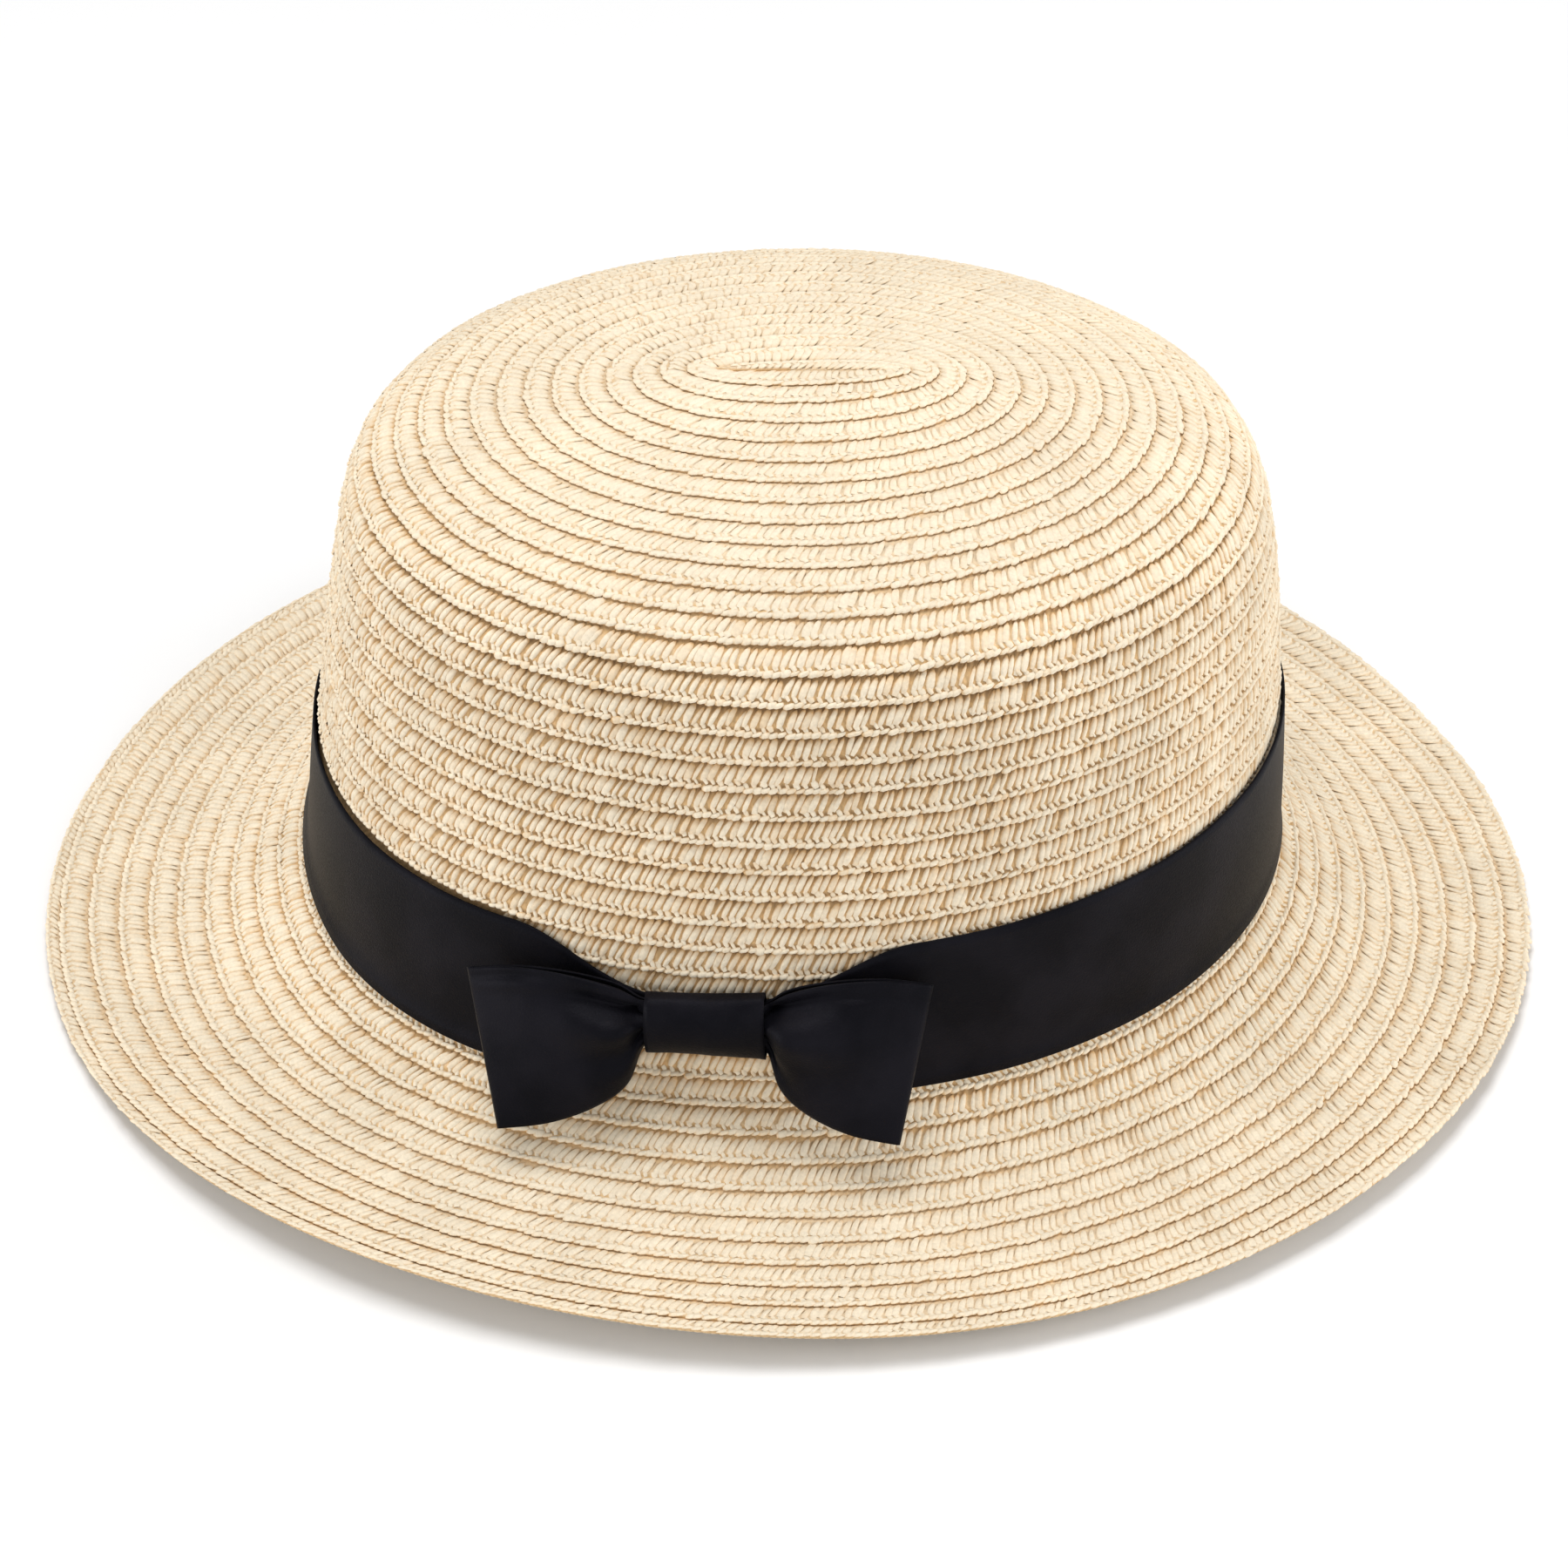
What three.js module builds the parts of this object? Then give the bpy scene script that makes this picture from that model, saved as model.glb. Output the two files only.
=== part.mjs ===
// Straw boater hat: a spiral-sewn paper-straw body with a ribbon band and a flat bow.
// Millimetres, +Z up. X runs along the length of the head opening, and -Y is the bow's side.
// The origin is on the surface that the brim rests on, under the middle of the brim.
import * as THREE from "three";

// Driving dimensions
const STRAW_THICKNESS = 2;
const RIBBON_THICKNESS = 0.9;
const RIBBON_WIDTH = 33;
const RIBBON_TILT = { upper: 3, lower: 1 }; // how far each edge rises at +X and falls at -X
const SEAT_GAP = 0.3;

// The hat's outer face on a line from the middle of the crown's top to the brim's edge.
// along: distance over the straw; slope: degrees below level.
const SIDE_PROFILE = [
  { along: 0, slope: 0 },
  { along: 6, slope: 0 },
  { along: 12, slope: 9 },
  { along: 32, slope: 8 },
  { along: 46, slope: 10 },
  { along: 54, slope: 15 },
  { along: 64, slope: 31 },
  { along: 70, slope: 38 },
  { along: 76, slope: 64 },
  { along: 82, slope: 74 },
  { along: 88, slope: 80 },
  { along: 134, slope: 83 },
  { along: 160, slope: 85 },
  { along: 165, slope: 65 },
  { along: 168, slope: 47 },
  { along: 176, slope: 42 },
  { along: 186, slope: 30 },
  { along: 197, slope: 15 },
  { along: 207, slope: 5 },
  { along: 213, slope: 0 },
  { along: 222, slope: 0 },
];
const CROWN_FOOT = 165; // where the wall starts to turn into the brim
const BRIM_EDGE = 222;
const TIP_CENTRE = 3; // first ring of facets round the flat middle of the top

// The oval of the hat seen from above at distances along the profile.
// longer: how much further each end reaches along X than the sides do along Y; shift: towards +X;
// corner: how much fuller the oval is halfway between its -X end and its sides.
const OVAL = [
  { along: 0, longer: 16, shift: 4, corner: 0 },
  { along: 100, longer: 15.4, shift: 4.2, corner: 1 },
  { along: 165, longer: 13, shift: 2.5, corner: 4 },
  { along: 222, longer: 17, shift: 1.5, corner: 0 },
];

// How far the brim's edge stands above the table: a sum of waves round the hat, never below 0.
const BRIM_WAVES = [
  { turns: 0, cosine: 3.3, sine: 0 },
  { turns: 2, cosine: -3.6, sine: 0.5 },
  { turns: 3, cosine: 0.4, sine: -0.5 },
  { turns: 4, cosine: -0.6, sine: -1 },
];
const WAVE_GROWTH = 1.5; // power by which a wave grows from the crown to the edge

// The bow, centred on the band. Its own directions: side along the band, up the wall, and out.
const BOW_ANGLE = -100.7; // degrees round the hat from +X
const BOW_TILT = 2.5; // degrees the bow is turned so that its +side end stands higher
const BOW_RISE = 1.5; // above the middle of the band
const KNOT = { width: 23, height: 13.5, depth: 5, corner: 2 };
const RIGHT_LOOP_LENGTH = 0.91; // share of the left loop's length
const NECK_HEIGHT = 12; // the band gathered behind the knot
const GATHER = { from: 9, to: 38 }; // distance from the knot's middle over which the band spreads out
// A loop of the bow from its neck at the knot to its folded end: its upper and lower edges.
const LOOP_SECTIONS = [
  { topSide: 11.8, topUp: 5.8, topOut: 3, lowSide: 11.8, lowUp: -5.8, lowOut: 3, thick: 3.5 },
  { topSide: 17, topUp: 8, topOut: 2.8, lowSide: 15, lowUp: -12, lowOut: 5.5, thick: 4.5 },
  { topSide: 26, topUp: 9.8, topOut: 2, lowSide: 20.5, lowUp: -16.5, lowOut: 8, thick: 4.5 },
  { topSide: 36, topUp: 9.6, topOut: 0, lowSide: 29, lowUp: -20, lowOut: 9.5, thick: 3.5 },
  { topSide: 45.5, topUp: 7, topOut: -3, lowSide: 39, lowUp: -21.5, lowOut: 9.5, thick: 2.2 },
];

// Facets
const AROUND = 72;
const PROFILE_STEP = 0.5;
const LONGEST_FACET = 16;
const SHARPEST_TURN = 10;
const LOOP_SIDES = 12;

const { degToRad, lerp, mapLinear, clamp, smoothstep } = THREE.MathUtils;

// A column of a table, read between its rows.
function readTable(table, column, along) {
  const found = table.findIndex((row) => row.along >= along);
  const next = found < 0 ? table.length - 1 : Math.max(1, found);
  const from = table[next - 1];
  const to = table[next];
  return mapLinear(along, from.along, to.along, from[column], to[column]);
}

// The profile walked in small steps: distance out from the crown's middle line, and drop.
function walkProfile() {
  const walk = [{ out: 0, drop: 0 }];
  for (let along = PROFILE_STEP; along <= BRIM_EDGE; along += PROFILE_STEP) {
    const last = walk[walk.length - 1];
    const slope = degToRad(readTable(SIDE_PROFILE, "slope", along - PROFILE_STEP / 2));
    const out = last.out + PROFILE_STEP * Math.cos(slope);
    const drop = last.drop + PROFILE_STEP * Math.sin(slope);
    walk.push({ out, drop });
  }
  return walk;
}

const WALK = walkProfile();
const TOP_HEIGHT = WALK[WALK.length - 1].drop + STRAW_THICKNESS;

function profileAt(along) {
  const place = clamp(along / PROFILE_STEP, 0, WALK.length - 1);
  const index = Math.min(Math.floor(place), WALK.length - 2);
  const from = WALK[index];
  const to = WALK[index + 1];
  return { out: lerp(from.out, to.out, place - index), drop: lerp(from.drop, to.drop, place - index) };
}

function edgeLift(angle) {
  let lift = 0;
  for (const wave of BRIM_WAVES) {
    lift += wave.cosine * Math.cos(wave.turns * angle) + wave.sine * Math.sin(wave.turns * angle);
  }
  return Math.max(0, lift);
}

// A point on the hat's outer face.
function strawPoint(along, angle) {
  const { out, drop } = profileAt(along);
  const fuller = Math.cos(angle) < 0 ? readTable(OVAL, "corner", along) * Math.sin(2 * angle) ** 2 : 0;
  const reach = out + fuller + readTable(OVAL, "longer", along);
  const brimShare = clamp((along - CROWN_FOOT) / (BRIM_EDGE - CROWN_FOOT), 0, 1);
  const lift = edgeLift(angle) * brimShare ** WAVE_GROWTH;
  return new THREE.Vector3(
    reach * Math.cos(angle) + readTable(OVAL, "shift", along),
    (out + fuller) * Math.sin(angle),
    TOP_HEIGHT - drop + lift,
  );
}

// The same point moved off the outer face by a distance along its normal.
function offsetPoint(along, angle, offset) {
  const step = 0.01;
  const inner = Math.max(along - step, 0);
  const outer = Math.min(along + step, BRIM_EDGE);
  const outward = strawPoint(outer, angle).sub(strawPoint(inner, angle));
  const round = strawPoint(along, angle + step).sub(strawPoint(along, angle - step));
  const normal = outward.cross(round).normalize();
  return strawPoint(along, angle).addScaledVector(normal, offset);
}

// Distances along the profile where a ring of facets is needed.
function ringPlaces() {
  const places = [TIP_CENTRE];
  let last = TIP_CENTRE;
  for (let along = TIP_CENTRE; along < BRIM_EDGE; along += PROFILE_STEP) {
    const corner = SIDE_PROFILE.some((row) => row.along === along);
    const slope = readTable(SIDE_PROFILE, "slope", along);
    const turned = Math.abs(slope - readTable(SIDE_PROFILE, "slope", last)) >= SHARPEST_TURN;
    if (along > last && (corner || turned || along - last >= LONGEST_FACET)) {
      places.push(along);
      last = along;
    }
  }
  places.push(BRIM_EDGE);
  return places;
}

// A closed mesh from rings of points, each ring running the same way round.
// Consecutive rings are joined; the ends are closed with fans, or the last ring meets the first.
function meshFromRings(rings, ends) {
  const sides = rings[0].length;
  const positions = rings.flat().flatMap((point) => point.toArray());
  const triangles = [];
  const joints = ends === "joined" ? rings.length : rings.length - 1;
  for (let ring = 0; ring < joints; ring += 1) {
    const here = ring * sides;
    const there = ((ring + 1) % rings.length) * sides;
    for (let side = 0; side < sides; side += 1) {
      const next = (side + 1) % sides;
      triangles.push(here + side, there + side, there + next);
      triangles.push(here + side, there + next, here + next);
    }
  }
  if (ends !== "joined") {
    const last = (rings.length - 1) * sides;
    const middles = [rings[0], rings[rings.length - 1]].map(middleOf);
    const firstMiddle = positions.length / 3;
    positions.push(...middles.flatMap((point) => point.toArray()));
    for (let side = 0; side < sides; side += 1) {
      const next = (side + 1) % sides;
      triangles.push(firstMiddle, side, next);
      triangles.push(firstMiddle + 1, last + next, last + side);
    }
  }
  const geometry = new THREE.BufferGeometry();
  geometry.setAttribute("position", new THREE.Float32BufferAttribute(positions, 3));
  geometry.setIndex(triangles);
  geometry.computeVertexNormals();
  return geometry;
}

function middleOf(points) {
  const sum = new THREE.Vector3();
  points.forEach((point) => sum.add(point));
  return sum.divideScalar(points.length);
}

function ringOf(makePoint) {
  return Array.from({ length: AROUND }, (_, side) => makePoint((2 * Math.PI * side) / AROUND));
}

// Crown and brim: the outer face from the middle of the top to the edge, and back underneath.
function strawBody() {
  const places = ringPlaces();
  const outer = places.map((along) => ringOf((angle) => offsetPoint(along, angle, 0)));
  const inner = places.map((along) => ringOf((angle) => offsetPoint(along, angle, -STRAW_THICKNESS)));
  return meshFromRings([...outer, ...inner.reverse()], "capped");
}

// The bow's own directions at its place on the band.
function bowFrame() {
  const angle = degToRad(BOW_ANGLE);
  const middle = CROWN_FOOT - RIBBON_WIDTH / 2 - BOW_RISE;
  const seat = SEAT_GAP + RIBBON_THICKNESS;
  const origin = offsetPoint(middle, angle, seat);
  const out = offsetPoint(middle, angle, seat + 1).sub(origin);
  const side = new THREE.Vector3(0, 0, 1).cross(out).normalize();
  side.applyAxisAngle(out, degToRad(BOW_TILT));
  const up = new THREE.Vector3().crossVectors(out, side).normalize();
  return { origin, side, up, out };
}

const BOW = bowFrame();

function bowPoint(side, up, out) {
  return BOW.origin.clone()
    .addScaledVector(BOW.side, side)
    .addScaledVector(BOW.up, up)
    .addScaledVector(BOW.out, out);
}

// Ribbon round the foot of the crown, gathered to a neck behind the knot.
function ribbonBand() {
  const middle = CROWN_FOOT - RIBBON_WIDTH / 2;
  const corners = [
    { half: 1, offset: SEAT_GAP },
    { half: 1, offset: SEAT_GAP + RIBBON_THICKNESS },
    { half: 0, offset: SEAT_GAP + RIBBON_THICKNESS },
    { half: -1, offset: SEAT_GAP + RIBBON_THICKNESS },
    { half: -1, offset: SEAT_GAP },
    { half: 0, offset: SEAT_GAP },
  ];
  const halfWidth = (angle) => {
    const fromBow = Math.abs(strawPoint(middle, angle).sub(BOW.origin).dot(BOW.side));
    const near = Math.sin(angle) < 0 ? 1 : 0;
    const gathered = near * (1 - smoothstep(fromBow, GATHER.from, GATHER.to));
    return lerp(RIBBON_WIDTH, NECK_HEIGHT, gathered) / 2;
  };
  const edge = (half, angle) => {
    const tilt = lerp(RIBBON_TILT.upper, RIBBON_TILT.lower, (1 + half) / 2);
    return middle + half * halfWidth(angle) - tilt * Math.cos(angle);
  };
  const rings = corners.map(({ half, offset }) =>
    ringOf((angle) => offsetPoint(edge(half, angle), angle, offset)));
  return meshFromRings(rings.reverse(), "joined");
}

// One loop of the bow: flat lens-shaped sections from the knot to the folded end.
// hand: -1 to the left and 1 to the right of the knot, times a share of the full length.
function bowLoop(hand) {
  const neck = LOOP_SECTIONS[0].topSide;
  const reach = (side) => Math.sign(hand) * neck + hand * (side - neck);
  const rings = LOOP_SECTIONS.map((row) => {
    const top = bowPoint(reach(row.topSide), row.topUp, row.topOut);
    const low = bowPoint(reach(row.lowSide), row.lowUp, row.lowOut);
    const across = top.clone().sub(low);
    const through = across.clone().cross(BOW.side).normalize();
    return Array.from({ length: LOOP_SIDES }, (_, side) => {
      const turn = (2 * Math.PI * side) / LOOP_SIDES;
      return low.clone()
        .addScaledVector(across, 0.5 - 0.5 * Math.cos(turn))
        .addScaledVector(through, (row.thick / 2) * Math.sin(turn));
    });
  });
  if (hand > 0) rings.reverse();
  return meshFromRings(rings, "capped");
}

// The wrap over the middle of the bow: a short bar with rounded corners.
function bowKnot() {
  const { width, height, depth, corner } = KNOT;
  const outline = new THREE.Shape();
  outline.moveTo(SEAT_GAP, -height / 2);
  outline.lineTo(SEAT_GAP + depth - corner, -height / 2);
  outline.quadraticCurveTo(SEAT_GAP + depth, -height / 2, SEAT_GAP + depth, -height / 2 + corner);
  outline.lineTo(SEAT_GAP + depth, height / 2 - corner);
  outline.quadraticCurveTo(SEAT_GAP + depth, height / 2, SEAT_GAP + depth - corner, height / 2);
  outline.lineTo(SEAT_GAP, height / 2);
  outline.closePath();
  const geometry = new THREE.ExtrudeGeometry(outline, { depth: width, bevelEnabled: false, curveSegments: 4 });
  geometry.translate(0, 0, -width / 2);
  const turn = new THREE.Matrix4().makeBasis(BOW.out, BOW.up, BOW.side.clone().negate());
  geometry.applyMatrix4(turn.setPosition(BOW.origin));
  return geometry;
}

const straw = { color: 0xe3cfa8, roughness: 0.85, metalness: 0 };
const ribbon = { color: 0x17181c, roughness: 0.6, metalness: 0 };

const pieces = [
  ["straw_body", strawBody(), straw],
  ["ribbon_band", ribbonBand(), ribbon],
  ["bow_loop_left", bowLoop(-1), ribbon],
  ["bow_loop_right", bowLoop(RIGHT_LOOP_LENGTH), ribbon],
  ["bow_knot", bowKnot(), ribbon],
];

const hat = new THREE.Group();
for (const [name, geometry, look] of pieces) {
  const mesh = new THREE.Mesh(geometry, new THREE.MeshStandardMaterial(look));
  mesh.name = name;
  hat.add(mesh);
}

export default hat;
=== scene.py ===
"""Looks for the straw boater: spiral-sewn braid rows with their stitches, a ribbon band and a flat bow.

The hat's sizes are in millimetres, as in the solid model, and are turned into metres when a mesh is
made. The floor, the lights and the camera are in metres.
"""
import math

import bpy
import numpy as np
from mathutils import Matrix, Vector


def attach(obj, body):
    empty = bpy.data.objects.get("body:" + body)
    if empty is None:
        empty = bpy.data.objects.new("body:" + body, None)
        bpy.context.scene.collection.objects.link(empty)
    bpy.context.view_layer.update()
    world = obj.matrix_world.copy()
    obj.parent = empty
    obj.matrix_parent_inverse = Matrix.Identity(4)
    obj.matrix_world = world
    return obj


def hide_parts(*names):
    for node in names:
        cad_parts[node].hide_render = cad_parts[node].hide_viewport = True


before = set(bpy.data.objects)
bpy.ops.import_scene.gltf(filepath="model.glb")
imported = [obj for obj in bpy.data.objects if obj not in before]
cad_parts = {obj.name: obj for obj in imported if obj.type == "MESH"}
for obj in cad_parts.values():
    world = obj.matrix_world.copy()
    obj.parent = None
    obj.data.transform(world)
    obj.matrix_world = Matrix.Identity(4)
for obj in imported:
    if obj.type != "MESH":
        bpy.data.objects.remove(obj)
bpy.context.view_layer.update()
MM = 0.001
rng = np.random.default_rng(7)

# ---------------------------------------------------------------- the hat's shape, as in part.mjs

# columns: distance over the straw from the crown's middle, slope in degrees below level
SIDE_PROFILE = np.array([
    (0, 0), (6, 0), (12, 9), (32, 8), (46, 10), (54, 15), (64, 31), (70, 38), (76, 64), (82, 74), (88, 80),
    (134, 83), (160, 85), (165, 65), (168, 47), (176, 42), (186, 30), (197, 15), (207, 5), (213, 0), (222, 0),
], dtype=float)
# columns: distance over the straw, how much longer the oval is at each end, shift towards +X,
# how much fuller it is at its -X corners
OVAL = np.array([(0, 16, 4, 0), (100, 15.4, 4.2, 1), (165, 13, 2.5, 4), (222, 17, 1.5, 0)], dtype=float)
# columns: turns, cosine, sine of each wave of the brim's edge
BRIM_WAVES = np.array([(0, 3.3, 0), (2, -3.6, 0.5), (3, 0.4, -0.5), (4, -0.6, -1.0)])
WAVE_GROWTH = 1.5
CROWN_FOOT = 165.0
BRIM_EDGE = 222.0
STRAW_THICKNESS = 2.0
# Only here, not in part.mjs: how far behind the crown's middle the braid starts, and the distance over
# the straw in which this shift fades out.
START_BACK, START_FADE = 2.8, 60.0
RIBBON_WIDTH = 33.0
RIBBON_TILT = {"upper": 3.0, "lower": 1.0}
BOW_ANGLE = math.radians(-100.7)
BOW_TILT = math.radians(2.5)
BOW_RISE = 1.5
# how far the bow's origin stands off the straw
BOW_OFF = 1.2
NECK_HEIGHT = 12.0
GATHER_FROM, GATHER_TO = 9.0, 38.0
# The ribbon lies flat behind the knot and the loops' necks. Its pleats start at the first distance from
# the bow's middle and have their full height from the second.
FLAT_TO, PLEATS_FROM = 17.0, 26.0

# steps over the straw, in mm, and round the hat, in radians, over which its normals are measured
NORMAL_STEP, NORMAL_TURN = 0.6, 0.01

STEP = 0.5
STATIONS = np.arange(0, BRIM_EDGE + STEP / 2, STEP)
SLOPES = np.radians(np.interp(STATIONS[:-1] + STEP / 2, SIDE_PROFILE[:, 0], SIDE_PROFILE[:, 1]))
OUT = np.concatenate([[0], np.cumsum(STEP * np.cos(SLOPES))])
DROP = np.concatenate([[0], np.cumsum(STEP * np.sin(SLOPES))])
TOP_HEIGHT = DROP[-1] + STRAW_THICKNESS


def straw(along, angle):
    """Points on the hat's nominal outer face."""
    along, angle = np.broadcast_arrays(np.asarray(along, float), np.asarray(angle, float))
    out = np.interp(along, STATIONS, OUT)
    drop = np.interp(along, STATIONS, DROP)
    longer = np.interp(along, OVAL[:, 0], OVAL[:, 1])
    shift = np.interp(along, OVAL[:, 0], OVAL[:, 2])
    fuller = np.interp(along, OVAL[:, 0], OVAL[:, 3]) * np.sin(2 * angle) ** 2 * (np.cos(angle) < 0)
    out = out + fuller
    lift = sum(cosine * np.cos(turns * angle) + sine * np.sin(turns * angle)
               for turns, cosine, sine in BRIM_WAVES)
    share = np.clip((along - CROWN_FOOT) / (BRIM_EDGE - CROWN_FOOT), 0, 1)
    lift = np.maximum(lift, 0) * share ** WAVE_GROWTH
    back = np.interp(along, (0, START_FADE), (START_BACK, 0))
    across_hat = (longer + out) * np.cos(angle) + shift
    front_to_back = out * np.sin(angle) + back
    return np.stack([across_hat, front_to_back, TOP_HEIGHT - drop + lift], -1)


def waves_at(table, place):
    """The sum of sine waves, from rows of height, waves for each unit of place, and phase."""
    return sum(height * np.sin(place * count + phase) for height, count, phase in table)


def unit(vectors):
    return vectors / np.maximum(np.linalg.norm(vectors, axis=-1, keepdims=True), 1e-9)


def smoothstep(value, low, high):
    share = np.clip((value - low) / (high - low), 0, 1)
    return share * share * (3 - 2 * share)


def straw_normal(along, angle):
    along, angle = np.broadcast_arrays(np.asarray(along, float), np.asarray(angle, float))
    near = np.maximum(along, NORMAL_STEP)
    outward = straw(np.minimum(near + NORMAL_STEP, BRIM_EDGE), angle) - straw(near - NORMAL_STEP, angle)
    around = straw(near, angle + NORMAL_TURN) - straw(near, angle - NORMAL_TURN)
    return unit(np.cross(outward, around))


def off_straw(along, angle, offset):
    return straw(along, angle) + straw_normal(along, angle) * np.asarray(offset)[..., None]


def bow_frame():
    middle = CROWN_FOOT - RIBBON_WIDTH / 2 - BOW_RISE
    origin = off_straw(middle, BOW_ANGLE, BOW_OFF)
    out = straw_normal(middle, BOW_ANGLE)
    side = unit(np.cross([0, 0, 1], out))
    side = side * math.cos(BOW_TILT) + np.cross(out, side) * math.sin(BOW_TILT)
    return origin, side, np.cross(out, side), out


BOW_ORIGIN, BOW_SIDE, BOW_UP, BOW_OUT = bow_frame()


# ---------------------------------------------------------------- the braid's spiral

# The braid winds outward clockwise from above, starting at the front. Turns count its rounds.
# columns: turns, distance over the straw of the row's lower lip at the front
ROW_LIPS = np.array([(0, 0), (13, 69), (24, 132.7), (29, 162), (39.65, 222), (60, 222)], dtype=float)
LAST_TURN = 40.55
# length of one stitch along the braid
STITCH = 1.55
# the braid keeps this far from the very middle of the tip
INNERMOST = 0.02
# The table of the spiral's length: its first turn, its number of places, and where across the row it runs.
TABLE_START, TABLE_PLACES, TABLE_ACROSS = 0.02, 60000, 0.6


def lip(turns):
    return np.interp(turns, ROW_LIPS[:, 0], ROW_LIPS[:, 1])


def turn_angle(turns):
    return -math.pi / 2 - 2 * math.pi * np.asarray(turns)


def braid_point(turns, across, offset):
    """across runs from 0 at the lip of the row above to 1 at this row's own lip."""
    upper = np.where(turns > 1, lip(turns - 1), 0)
    along = np.clip(upper + across * (lip(turns) - upper), INNERMOST, BRIM_EDGE)
    return off_straw(along, turn_angle(turns), offset)


def spiral_table():
    """Turns against length over the braid's middle, walked in small steps."""
    turns = np.linspace(TABLE_START, LAST_TURN, TABLE_PLACES)
    points = braid_point(turns, np.full_like(turns, TABLE_ACROSS), np.zeros_like(turns))
    steps = np.linalg.norm(np.diff(points, axis=0), axis=1)
    return turns, np.concatenate([[0], np.cumsum(steps)])


TURNS, LENGTHS = spiral_table()


def turns_at(length):
    return np.interp(length, LENGTHS, TURNS)


def length_at(turns):
    return np.interp(turns, TURNS, LENGTHS)


# ---------------------------------------------------------------- meshes

def new_mesh(name, points, quads, **point_values):
    """A smooth-shaded mesh object from points in millimetres and four-cornered faces."""
    mesh = bpy.data.meshes.new(name)
    points = np.asarray(points, dtype=np.float32).reshape(-1, 3) * MM
    quads = np.asarray(quads, dtype=np.int32).reshape(-1, 4)
    mesh.vertices.add(len(points))
    mesh.vertices.foreach_set("co", points.ravel())
    mesh.loops.add(quads.size)
    mesh.loops.foreach_set("vertex_index", quads.ravel())
    mesh.polygons.add(len(quads))
    mesh.polygons.foreach_set("loop_start", np.arange(0, quads.size, 4, dtype=np.int32))
    mesh.update(calc_edges=True)
    mesh.polygons.foreach_set("use_smooth", np.ones(len(mesh.polygons), dtype=bool))
    for label, values in point_values.items():
        layer = mesh.attributes.new(label, "FLOAT", "POINT")
        layer.data.foreach_set("value", np.asarray(values, dtype=np.float32).ravel())
    mesh.validate()
    made = bpy.data.objects.new(name, mesh)
    bpy.context.scene.collection.objects.link(made)
    return made


def grid_quads(rows, columns, closed_rows=False, closed_columns=False):
    """Faces of a grid of points stored row by row."""
    row = np.arange(rows if closed_rows else rows - 1)[:, None]
    column = np.arange(columns if closed_columns else columns - 1)[None, :]
    next_row = (row + 1) % rows
    next_column = (column + 1) % columns
    corners = [row * columns + column, row * columns + next_column,
               next_row * columns + next_column, next_row * columns + column]
    return np.stack(np.broadcast_arrays(*corners), -1).reshape(-1, 4)


# ---------------------------------------------------------------- straw

# One row's section, round from its hidden upper edge over the outside to its lip and back inside.
# columns: across the row, height off the nominal face in mm, tone where the braid is bold,
# tone where it is smooth. The outside's dark tones are painted shade: under the lip of the row above,
# in the holes above the lip and on the lip's downward face.
SECTION = np.array([
    (-0.30, -1.05, 0.20, 0.50), (0.00, -0.92, 0.12, 0.66), (0.12, -0.70, 0.12, 0.76),
    (0.24, -0.36, 0.30, 0.82), (0.40, -0.05, 0.46, 0.80), (0.64, 0.14, 0.46, 0.80),
    (0.78, 0.20, 0.12, 0.62), (0.88, 0.30, 0.50, 0.76), (0.955, 0.28, 0.48, 0.60),
    (0.985, -0.20, 0.18, 0.52), (0.93, -0.80, 0.75, 0.75), (0.60, -1.15, 0.90, 0.90),
    (0.20, -1.50, 0.90, 0.90), (-0.15, -1.92, 0.90, 0.90), (-0.30, -1.75, 0.60, 0.60),
])
# the section's points from this one on face the head or the table
INNER_FROM = 10
# columns: turns, how deep and open the braid's rows look, from pressed smooth (0) to bold (1)
BOLDNESS = np.array([
    (0, 0.0), (10, 0.0), (13.5, 0.35), (15.5, 1.0), (29, 1.0), (32, 0.40), (35, 0.10), (41, 0.05),
])
# share of its full height that a strand or a row's upper part keeps where the braid is smooth
SMOOTH_LEDGE = 0.40
# Where the braid is smooth, its outside is pressed in by PRESSED mm past this share of the row.
PRESSED_FROM, PRESSED = 0.2, 0.12
# Where it is smooth, its lip is drawn back by this share of the row, from this share on.
LIP_FROM, LIP_DRAWN = 0.9, 0.025
# The strip's underside thins by this share over its last turns, so that it ends without a step.
END_TURNS, END_THINNED = 0.6, 0.7
# how strongly the material's stitches show outside, as painted shade in their grooves and as bump: where
# smooth, and what boldness adds
MARKS_SMOOTH, MARKS_BOLD = 0.15, 0.35
# The strip starts at this turn. Its sections are a step in mm apart, or a share of a turn if that is less,
# and a round counts as at least so many mm long.
STRIP_START, STRIP_STEP, STRIP_TURN, SHORTEST_ROUND = 0.03, 4.8, 0.025, 40.0


def bold(turns):
    return np.interp(turns, BOLDNESS[:, 0], BOLDNESS[:, 1])


def ledge(height, turns):
    """Heights off the face are less where the braid is pressed smooth."""
    return height * (SMOOTH_LEDGE + (1 - SMOOTH_LEDGE) * bold(turns))


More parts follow.
